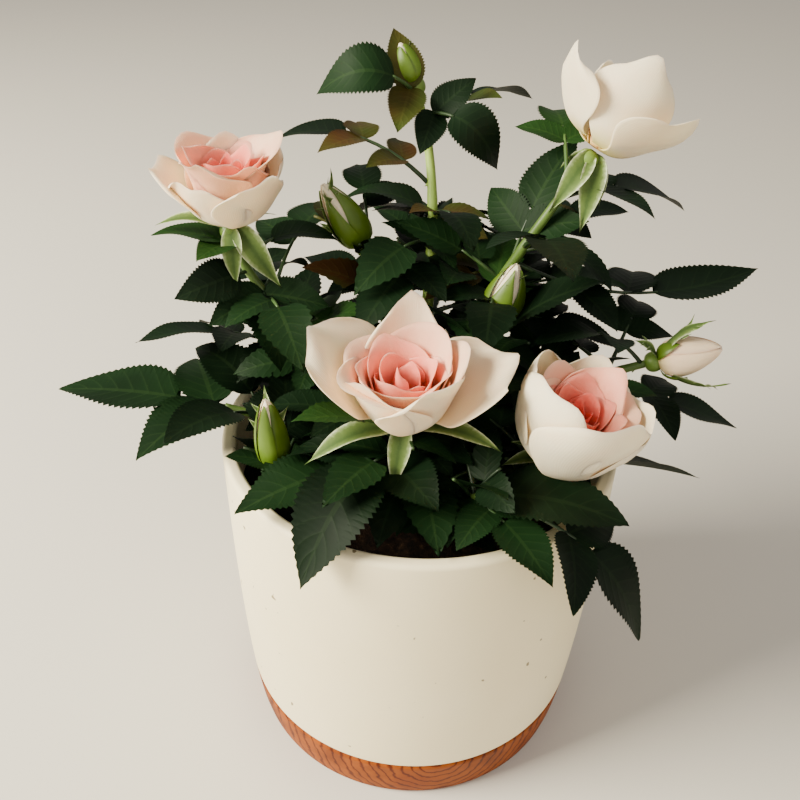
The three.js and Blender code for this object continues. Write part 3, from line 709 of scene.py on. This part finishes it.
def grown_leaves():
    """Every leaf: the placed and the ruled ones whose tips the solids have, less blades that would hide
    sepals, then the low and the filling ones that find room. Each is (shoot, share of it, stalk, upper side,
    blades, detail)."""
    flowers_seen, sepals_seen = sight_lines()
    blooms = ("front", "left", "right_front", "tall_right", "right")
    taken = [node_points("bloom_" + name) for name in blooms]
    taken += [cubic(shoot_controls(name), np.linspace(0.02, 1, 50)) for name in SHOOTS]
    taken += [*flowers_seen, sepals_seen]
    leaves = []

    def keep(name, leaf, stalk, up, blades, detail):
        if blades:
            leaves.append((name, leaf[0], stalk, up, blades, detail))
            taken.extend([*(blade_samples(*blade) for blade in blades), stalk[2:]])

    for number, (name, (_, tip, _, count)) in enumerate(SHOOTS.items()):
        solids = node_points("foliage_" + name)
        placed = PLACED_LEAVES.get(name, [])
        for leaf in placed + leaves_by(rule_leaf, tip[0], count, RULE_SEED + number):
            stalk, up, blades = leaf_plan(name, leaf)
            found = nearest(np.array([blade[1] for blade in blades]), solids) < TIP_MATCH
            blades = [blade for blade, is_there in zip(blades, found)
                      if is_there and (leaf in placed or off_sepals(blade, sepals_seen))]
            keep(name, leaf, stalk, up, blades, FINE_BLADE)
    for number, (name, (_, tip, _, _)) in enumerate(SHOOTS.items()):
        low = LOW_LEAVES.get(name, [])
        count = FILLING_LEAVES * (2 if "front" in name else 1)
        for leaf in low + leaves_by(filling_leaf, tip[0], count, FILLING_SEED + number):
            clear, off = LOW_ROOM if leaf in low else FILLING_ROOM
            stalk, up, blades = leaf_plan(name, leaf)
            everything = np.concatenate(taken)
            if has_room(stalk[3:], everything, clear):
                blades = [blade for blade in blades if has_room(blade_samples(*blade), everything, clear)
                          and off_sepals(blade, sepals_seen, off)]
                keep(name, leaf, stalk, up, blades, PLAIN_BLADE)
    return leaves


def leaflet_outline(share):
    """Half width as a share of the greatest: 2.8 s^0.55 (1-s)^1.05, full below and drawn to a point."""
    return 2.8 * share**0.55 * (1 - share) ** 1.05


def blade_surfaces(blades, widths, rows, across_at, bite, fold, seed, ripple=0.05, outline=leaflet_outline):
    """Closed thin blades. Row k crosses the curved middle line at share k/rows, with a point above at each
    of the places across and one keel below; the margin steps in and out by the bite and its points lean
    forward; the halves rise by the fold and the surface ripples. Each point has how far along (0 to 1) and
    across (-1 to 1) it lies."""
    roots, tips, ups, bulges = blades
    n = len(roots)
    share = np.arange(1, rows) / rows
    values = {"along": np.append(np.repeat(share, len(across_at) + 1), [0, 1]),
              "across": np.append(np.tile([*across_at, 0], rows - 1), [0, 0])}
    values["margin"] = np.abs(values["across"]) == 1
    share = share[None]
    middles = (roots + tips) / 2 + ups * 2 * bulges[:, None]
    spine = np.stack([quadratic(r, m, t, share[0]) for r, m, t in zip(roots, middles, tips)])
    s = share[..., None]
    along = unit((1 - s) * (middles - roots)[:, None] + s * (tips - middles)[:, None])
    top = square_to(np.broadcast_to(ups[:, None], along.shape), along)
    across = np.cross(top, along)
    half = 0.5 * widths[:, None] * outline(share)
    odd = (np.arange(1, rows) % 2 == 1)[None]
    length = np.linalg.norm(tips - roots, axis=1)[:, None]
    chance = np.random.default_rng(seed)
    twist = chance.uniform(-0.2, 0.2, (n, 1))
    wave = ripple * length * chance.uniform(0.3, 1, (n, 1))
    phase = chance.uniform(0, 6.28, (n, 1))
    columns = []
    for u in across_at:
        margin = bite * (abs(u) == 1)
        reach = half * u * (1 + margin * np.where(odd, 0.05, -0.06))
        lean = length / rows * 0.6 * margin * odd * (1 - share)
        ruffle = wave * np.sin(share * 9 + phase + np.sign(u)) * abs(u) * 0.35
        lift = fold * half * abs(u) + twist * reach * share + ruffle
        columns.append(spine + across * reach[..., None] + top * lift[..., None] + along * lean[..., None])
    keel = spine - top * (0.012 * length * (1.15 - share))[..., None]
    body = np.stack([*columns, keel], 2).reshape(n, -1, 3)
    points = np.concatenate([body, roots[:, None], tips[:, None]], 1)
    return points, tube_triangles(rows - 1, len(across_at) + 1), values


def attribute(tree, name):
    """A number that each point of the mesh carries."""
    return add_node(tree, "ShaderNodeAttribute", attribute_name=name).outputs["Fac"]


def maths(tree, operation, first, second=0.0):
    """One arithmetic step on sockets or plain numbers."""
    return add_node(tree, "ShaderNodeMath", {0: first, 1: second}, operation=operation).outputs["Value"]


def vein_group():
    """Group: how near a point is to the midrib or a side vein, and the quilted height between the veins.
    Side veins leave the midrib at even steps and run forward by a share of their way out."""
    inputs = {"Along": "Float", "Across": "Float", "Veins": "Float", "Slant": "Float"}
    group, given = new_group("leaf_veins", inputs, {"Vein": "Float", "Height": "Float"})
    out = maths(group, "ABSOLUTE", given["Across"])
    slanted = maths(group, "SUBTRACT", given["Along"], maths(group, "MULTIPLY", out, given["Slant"]))
    wave = maths(group, "FRACT", maths(group, "MULTIPLY", slanted, given["Veins"]))
    off_vein = maths(group, "MULTIPLY", maths(group, "ABSOLUTE", maths(group, "SUBTRACT", wave, 0.5)), 2.0)
    fade = maths(group, "SUBTRACT", 1.0, maths(group, "MULTIPLY", out, 0.8))
    fading = maths(group, "MULTIPLY", maths(group, "POWER", off_vein, 9.0), fade)
    midrib = maths(group, "LESS_THAN", out, 0.07)
    height = maths(group, "SUBTRACT", 1.0, maths(group, "POWER", off_vein, 3.0))
    add_node(group, "NodeGroupOutput", {"Vein": maths(group, "MAXIMUM", fading, midrib), "Height": height})
    return group


VEINS = vein_group()


def leaf_material(name, blade, shade, vein, roughness):
    """Leaf green in blotches of two tones, veins paler; the quilting between the veins is relief."""
    material, tree = new_material(name, blade, roughness, 0.11)
    along, across = attribute(tree, "along"), attribute(tree, "across")
    inputs = {"Along": along, "Across": across, "Veins": VEIN_PAIRS, "Slant": VEIN_SLANT}
    veins = add_node(tree, "ShaderNodeGroup", inputs, node_tree=VEINS).outputs
    tone = patched(tree, 45, 2, shade, blade)
    veined = mixed(tree, "MIX", maths(tree, "MULTIPLY", veins["Vein"], 0.12), tone, linear(vein))
    return paint(material, veined, veins["Height"], 0.2, 0.3)


# Each tone's colours of blade, shade and vein, and its roughness.
SPRAYS = {
    "dark": ("122213", "0c190d", "33462a", 0.58),
    "mid": ("182c17", "122412", "425b32", 0.6),
    "bronze": ("35401a", "46301a", "62622f", 0.58),
    "light": ("233d1a", "1c3415", "4c6832", 0.6),
}


def spray_of(name, share, number, blade):
    """Which tone a blade has: some bronze towards the tips of the tall shoots, else dark or mid by turns."""
    if name == "tall_back" and share > 0.5:
        return "bronze" if blade and number % 2 else ("dark", "mid")[number // 2 % 2]
    if name in ("tall_right", "back_right", "back_left") and share > 0.6 and number % 4 == 0:
        return "bronze"
    if number % 17 == 5:
        return "light"
    return "mid" if number % 3 == 1 else "dark"


def dress_leaves():
    """One piece of blades and one of stalks for each tone."""
    dealt = [(leaf, [spray_of(*leaf[:2], number, blade) for blade in range(len(leaf[4]))])
             for number, leaf in enumerate(grown_leaves())]
    for index, (tone, (blade, shade, vein, roughness)) in enumerate(SPRAYS.items()):
        chosen = [leaf for leaf, tones in dealt if tones[0] == tone]
        parts = []
        for detail in (FINE_BLADE, PLAIN_BLADE):
            shapes = [shape for leaf, tones in dealt if leaf[5] is detail
                      for shape, its_tone in zip(leaf[4], tones) if its_tone == tone]
            if shapes:
                columns = [np.array(column) for column in zip(*shapes)]
                widths = BLADE_WIDTH * np.linalg.norm(columns[1] - columns[0], axis=1)
                parts.append(blade_surfaces(columns, widths, *detail, BLADE_FOLD, 11 + index))
        mesh_piece("leaves_" + tone, leaf_material("leaf_" + tone, blade, shade, vein, roughness), "leaves",
                   () if index else ["foliage_" + name for name in SHOOTS], *parts)
        lines = np.array([leaf[2] for leaf in chosen])
        radii = np.linspace(RACHIS_RADIUS, 0.45, lines.shape[1])
        side = np.array([np.cross(leaf[3], leaf[2][-1] - leaf[2][0]) for leaf in chosen])
        mesh_piece("stalks_" + tone, green_cane("stalk_" + tone, vein, blade), "leaves", (),
                   tubes(lines, radii, side, 6))


dress_leaves()

# Hips and sepals
# Under each flower sits a small round green hip with five long pointed sepals, felted white along their
# edges. On the buds they stand up round the rolled petals, and a few carry narrow side lobes.
HIP_RADIUS = 3.4
HIP_HEIGHT = 6.0
SEPAL_SEAT = 0.3 * HIP_HEIGHT
SEPAL_WIDTH = 0.32
SEPAL_BLADE = (12, (-1, -0.8, 0, 0.8, 1), 0)
LOBED = ("back_left", "centre", "right", "left_low")


def sepal_outline(share):
    """Half width as a share of the greatest: 4 s^0.7 (1-s)^1.5, widest low down and long in the point."""
    return 4 * share**0.7 * (1 - share) ** 1.5


def swell(share, radius, blunt):
    """An egg's radius along its height: s^0.4 (1-s)^blunt, scaled to its widest."""
    widest = 0.4 / (0.4 + blunt)
    return radius * share**0.4 * (1 - share) ** blunt / (widest**0.4 * (1 - widest) ** blunt)


def hips(names):
    """Egg-shaped tubes of twelve rings, from a hip's height below each tip up to the tip."""
    share = np.linspace(0.01, 0.99, 12)
    flowers = [flower(name) for name in names]
    lines = np.array([tip + axes[0] * HIP_HEIGHT * (share[:, None] - 1) for tip, axes in flowers])
    return tubes(lines, swell(share, HIP_RADIUS, 0.4), np.array([0.6, 0.5, 0.2]), 16)


def sepal_blades():
    """Every sepal as root, tip, upper side, bulge and width, and its side lobes where it has them."""
    shapes = []
    for name, sepals in SEPALS.items():
        below, axes = flower(name)
        for turn, rise, length in sepals:
            hanging = rise < -45
            seat = below - axes[0] * (0 if hanging else SEPAL_SEAT)
            out = around(axes, np.float64(turn))
            heading = sepal_heading(axes, turn, rise)
            root = seat + out * 0.4 * HIP_RADIUS
            up = square_to(TO_THE_LIGHT if hanging else -out if rise > 0 else axes[0], heading)
            tip = root + heading * length
            bulge = (-0.15 if name == "right" and rise > 50 else 0.1 if hanging else 0.12) * length
            shapes.append((root, tip, up, bulge, SEPAL_WIDTH * length))
            if name in LOBED and length > 12:
                across = np.cross(up, heading)
                for share, side, reach in ((0.42, 1, 0.34), (0.5, -1, 0.36), (0.66, 1, 0.26)):
                    start = quadratic(root, (root + tip) / 2 + up * 2 * bulge, tip, share)
                    end = start + (heading * 0.75 + across * side * 0.66) * length * reach
                    shapes.append((start, end, up, 0.03 * length, 0.3 * length * reach))
    return [np.array(column) for column in zip(*shapes)]


def sepal_green():
    """Soft green felt that turns to white wool at the margins."""
    material, tree = new_material("sepal_green", "86a05a", 0.7, 0.25)
    edge = maths(tree, "ABSOLUTE", attribute(tree, "across"))
    felt = noise(tree, object_place(tree), 900)
    woolly = maths(tree, "ADD", maths(tree, "MULTIPLY", edge, 0.75), maths(tree, "MULTIPLY", felt, 0.3))
    colour = ramp(tree, woolly, (0.2, "40552a"), (0.62, "5c713a"), (0.8, "8a9b68"), (0.93, "d2dabb"))
    return paint(material, colour, felt, 0.3, 0.2)


*sepals, sepal_widths = sepal_blades()
mesh_piece("sepals", sepal_green(), "leaves", (),
           blade_surfaces(sepals, sepal_widths, *SEPAL_BLADE, 0.3, 5, 0.08, sepal_outline))
mesh_piece("hips", green_cane("hip_green", "6f8a3c", "587330"), "leaves", (), hips(SEPALS))

# Blooms
# Half-open roses. Five broad outer petals, cream with a thin edge, lean out from a cup; inside it stands a
# tight spiral of upright petals, each a golden angle on from the last, that turns from peach to salmon pink.
PETAL_ROWS = 20
PETAL_COLUMNS = 17
GLOW = {"Subsurface Weight": 0.5, "Subsurface Radius": (1.4 * MM, 1.2 * MM, MM), "Subsurface Scale": 1.0}

# Petals as (azimuth about the flower, lean, length, width, bend of the upper edge, height of the point,
# place among the overlapping ones, the highest outside).
PETALS = {
    "front": [(163, 33, 36, 35, 24, 0, 1), (8, 44, 34, 34, 34, 0, 1), (85, 14, 33, 27, 2, 6, 0),
        (228, 20, 27, 34, -4, 0, 2), (305, 18, 27, 33, -4, 1, 3)],
    "left": [(180, 38, 26, 25, 26, 1, 0), (315, 28, 25, 28, -8, 1, 3), (245, 30, 23, 28, -8, 0, 2),
        (100, 12, 26, 29, -4, 0, 0), (38, 19, 26, 25, 4, 1, 1)],
    "right_front": [(150, 24, 35, 33, -40, 0, 1), (215, 14, 40, 38, -40, 0, 2), (280, 12, 40, 40, -30, 0, 4),
        (350, 24, 33, 35, -24, 1, 1), (65, 22, 32, 34, -20, 1, 0)],
    "tall_right": [(197, 44, 25, 22, -18, 1.5, 4), (264, 14, 30, 27, -22, 1, 2), (322, 42, 26, 30, -8, 3, 0),
        (60, 16, 27, 24, -8, 0, 0), (125, 14, 27, 24, -8, 0, 0)],
}
# Height and radius of the spiral, how many petals it has, how pink it is, and how pink the outer petals are.
HEARTS = {"front": (26, 16, 14, 0.8, 0.12), "left": (27, 14, 13, 0.9, 0.08),
          "right_front": (30, 12.5, 16, 1.0, 0.02), "tall_right": (20, 8, 9, 0.5, 0.06)}


def closed_sheets(middle, thickness, **numbers):
    """A thin closed skin about each of n sheets of rows by columns points: half the thickness to either
    side and none at the margin, where the two faces share their points. The sheet's numbers go to the front
    and again to the inner points of the back; the margin has 1 and the rest 0."""
    n, rows, columns, _ = middle.shape
    normal = unit(np.cross(np.gradient(middle, axis=2), np.gradient(middle, axis=1)) + 1e-9)
    front = middle.copy()
    front[:, 1:-1, 1:-1] += normal[:, 1:-1, 1:-1] * thickness / 2
    back = (middle - normal * thickness / 2)[:, 1:-1, 1:-1]
    points = np.concatenate([front.reshape(n, -1, 3), back.reshape(n, -1, 3)], 1)
    behind = np.arange(rows * columns).reshape(rows, columns)
    inside = behind[1:-1, 1:-1]
    inside[:] = rows * columns + np.arange(inside.size).reshape(inside.shape)
    faces = grid_triangles(rows, columns, False)
    numbers["margin"] = np.pad(np.zeros((rows - 2, columns - 2)), 1, constant_values=1)
    for key, part in numbers.items():
        part = np.broadcast_to(part, (n, rows, columns))
        numbers[key] = np.append(part.reshape(n, -1), part[:, 1:-1, 1:-1].reshape(n, -1), 1)
    return points, np.concatenate([faces[:, ::-1], behind.ravel()[faces]]), numbers


def smoothstep(x, low, high):
    """3 t^2 - 2 t^3 for t from 0 to 1 between low and high."""
    t = np.clip((x - low) / (high - low), 0, 1)
    return t * t * (3 - 2 * t)


def petal_sheets(start, axes, shapes, v, u):
    """Sheets of petals, u across and v along. The rib's slope turns from the cup to the lean within 40 % of
    its length and bends back out over the last 40 %; the section is an arc about the axis, one margin out by
    the tuck and the other in; the top edge is rounded, pointed, waved and curled."""
    turn, lean, length, width, bend, point, cup, seat, hug, tuck, curl, wave = (
        column[:, None, None] for column in np.array(shapes, float).T
    )
    along = v * (1 - 0.17 * u * u)
    radius = seat + 0 * along
    height = 0.6 + 0.35 * np.maximum(0, seat - 2.4) + 0 * along
    steps = 10
    for i in range(steps):
        at = along * (i + 0.5) / steps
        slope = np.radians(cup + (90 - lean - cup) * smoothstep(at, 0, 0.4) - bend * smoothstep(at, 0.6, 1))
        radius = radius + length * along * np.cos(slope) / steps
        height = height + length * along * np.sin(slope) / steps
    full = 0.16 + 0.84 * smoothstep(along, 0, 0.6)
    half = 0.52 * width * full * (1 - 0.34 * np.clip((v - 0.76) / 0.24, 0, 1) ** 2)
    bow = radius + hug
    angle = u * half / bow
    phase = turn * 0.1
    upper = smoothstep(v, 0.55, 1)
    out = radius - bow * (1 - np.cos(angle)) + tuck * u * np.minimum(1, 2 * v)
    out = out + upper * (curl * np.abs(u) ** 3 + wave * np.sin(4.2 * u + phase) * (0.35 + 0.65 * np.abs(u)))
    peak = point * np.clip(1 - np.abs(u) / 0.65, 0, 1) * smoothstep(v, 0.7, 1)
    lift = height + peak + upper * wave * 0.8 * np.sin(5.5 * u + 2 * phase)
    sides = bow * np.sin(angle)
    beside = around(axes, turn + 90) * sides[..., None]
    return start + around(axes, turn) * out[..., None] + beside + axes[0] * lift[..., None]


def spiral_petals(height, radius, count, first, seed):
    """The heart's petals from the outside in, f from 0 to 1: the reach falls as (1-f)^0.8, each a golden
    angle on and a little uneven; the cup angle is the one that brings the rib out to that reach."""
    f = (np.arange(count) + 0.3) / count
    chance = np.random.default_rng(seed)
    reached = radius * (1 - f) ** 0.8 + 1.0
    lean = 26 * (1 - f) ** 1.3 - 8 + chance.uniform(-4, 4, count)
    length = height * (0.98 - 0.26 * f) * chance.uniform(0.9, 1.06, count)
    seat = 0.4 * reached
    outwards = (reached - seat - 0.6 * length * np.sin(np.radians(lean))) / (0.4 * length)
    cup = np.clip(2 * np.degrees(np.arccos(np.clip(outwards, 0.02, 0.9))) - (90 - lean), 0, 84)
    width = 2 * reached * (1.0 + 0.9 * f) * chance.uniform(0.85, 1.15, count)
    turn = first + GOLDEN_ANGLE * np.arange(count) + chance.uniform(-14, 14, count)
    bend = 40 * (1 - f) + chance.uniform(-6, 16, count)
    point = chance.uniform(0, 2.2, count) * (1 - 0.6 * f)
    tuck = chance.uniform(0.3, 0.9, count)
    wave = chance.uniform(0.4, 1, count)
    hug = np.full(count, 0.3)
    curl = 0.9 * (1 - f)
    return np.stack([turn, lean, length, width, bend, point, cup, seat, hug, tuck, curl, wave], 1), f


def dress_blooms():
    """Every petal of the open blooms as one skin, with how far in, along and across it each point lies; the
    points across lie closer together towards both margins."""
    v, u = np.meshgrid(np.linspace(0, 1, PETAL_ROWS) ** 0.85,
                       np.sin(np.linspace(-1, 1, PETAL_COLUMNS) * np.pi / 2), indexing="ij")
    sheets, inner = [], []
    for name, petals in PETALS.items():
        tip, axes = flower(name)
        tall, wide, count, pink, blush = HEARTS[name]
        outer = [(*petal[:6], 10, 2.4 + 0.8 * petal[6], 4, -0.7, 0.05 * petal[4],
                  1.2 + 0.03 * max(petal[4], 0)) for petal in petals]
        spiral, f = spiral_petals(tall, wide, count, petals[0][0] + 60, count)
        sheets.append(petal_sheets(tip + axes[0] * CLEAR, axes, np.concatenate([outer, spiral]), v, u))
        inner.append(np.concatenate([np.full(len(outer), blush), pink * (0.35 + 0.65 * f)]))
    inner = np.concatenate(inner)[:, None, None]
    mesh_piece("bloom_petals", PETAL, "petals", ["bloom_" + name for name in PETALS],
               closed_sheets(np.concatenate(sheets), 0.35, inner=inner, along=v, across=u))


def petal_skin():
    """Cream outside to salmon at the heart by how far in the petal stands, green-yellow at its foot, and
    fine streaks along it; light comes through a little."""
    material, tree = new_material("petal_skin", "f6e3d3", 0.55, 0.3, **GLOW)
    v = attribute(tree, "along")
    cloud = maths(tree, "SUBTRACT", noise(tree, object_place(tree), 120, 3), 0.5)
    depth = maths(tree, "ADD", attribute(tree, "inner"), maths(tree, "MULTIPLY", cloud, 0.25))
    body = ramp(tree, depth, (0.0, "fde9c6"), (0.25, "fdd2b0"), (0.6, "f89884"), (1.0, "ea625a"))
    foot = ramp(tree, v, (0.02, "eef2a8"), (0.3, "ffffff"), (1.0, "ffffff"))
    inputs = {"X": attribute(tree, "across"), "Y": maths(tree, "MULTIPLY", v, 0.4)}
    spot = add_node(tree, "ShaderNodeCombineXYZ", inputs).outputs["Vector"]
    inputs = {"Vector": spot, "Scale": 8, "Distortion": 5}
    streak = add_node(tree, "ShaderNodeTexWave", inputs, wave_type="BANDS", bands_direction="X")
    return paint(material, mixed(tree, "MULTIPLY", 1.0, body, foot), streak.outputs["Fac"], 0.2, 0.15)


PETAL = petal_skin()
dress_blooms()

# Buds
# Closed or just opening, an egg of petals rolled round one another. The green sepals still hug them, and
# only the one at the far right shows much of its pink.
RIGHT_BUD_SHEETS = 4

# How sheets wrap a bud: their turns, spread, narrowing, lift off it, top and twist.
ROLLED = ((20, 110, 200, 290), 85, 0.25, 0, 0.985, 60)
FIVE = (30, 102, 174, 246, 318)
TIGHT = (FIVE, 46, 0.2, 0.45, 0.93, 12)
LOOSE = (FIVE, 52, 0.6, 0.45, 0.93, 12)
OPENING = ((60, 180, 300), 34, 0.8, 0.45, 0.4, 6)

# Each bud as (height, radius, how the sepals wrap it).
BUDS = {"tall_back": (11, 4, TIGHT), "back_left": (23, 5.6, LOOSE), "centre": (20, 6, LOOSE),
        "left_low": (24, 4.6, TIGHT), "right": (18.5, 6.8, OPENING)}


def bud_sheets(name, height, radius, turns, spread, narrowing, lift, top, twist):
    """Sheets wrapped on a bud: angle = turn + twist v + spread u (1 - v / top)^narrowing, radius = the egg's
    plus a lift and 0.35 u where one margin lies over the next, height from 2 % to `top` of the bud's."""
    tip, axes = flower(name)
    seat = tip - axes[0] * SEPAL_SEAT
    v, u = np.meshgrid(np.linspace(0.02, top, 14), np.linspace(-1, 1, 9), indexing="ij")
    turn = np.array(turns, float)[:, None, None] + twist * v + spread * u * (1.002 - v / top) ** narrowing
    out = swell(v, radius, 0.8) + lift + 0.35 * u * np.minimum(1, 4 * v)
    return seat + around(axes, turn) * out[..., None] + axes[0] * (v * height)[..., None]


def all_bud_sheets(kind):
    """The rolled petals, or the green sepals that hug them, of every bud."""
    sheets = []
    for name, (height, radius, wrap) in BUDS.items():
        size, wrap = (0.9, ROLLED) if kind == "petals" else (1, wrap)
        sheets.append(bud_sheets(name, height + SEPAL_SEAT, radius * size, *wrap))
    return np.concatenate(sheets)


bud_green = green_cane("bud_green", "5a7520", "43590f")
for kind, material, slot, replaced in (("petals", PETAL, "petals", ["bloom_right"]),
                                       ("sepals", bud_green, "leaves", ())):
    middle = all_bud_sheets(kind)
    n, rows, columns, _ = middle.shape
    v, u = np.meshgrid(np.linspace(0.1, 1, rows), np.linspace(-1, 1, columns), indexing="ij")
    blush = np.where(np.arange(n) < n - RIGHT_BUD_SHEETS, 0.03, 0.22)[:, None, None]
    mesh_piece("bud_" + kind, material, slot, replaced,
               closed_sheets(middle, 0.4, along=v, across=u, inner=blush))
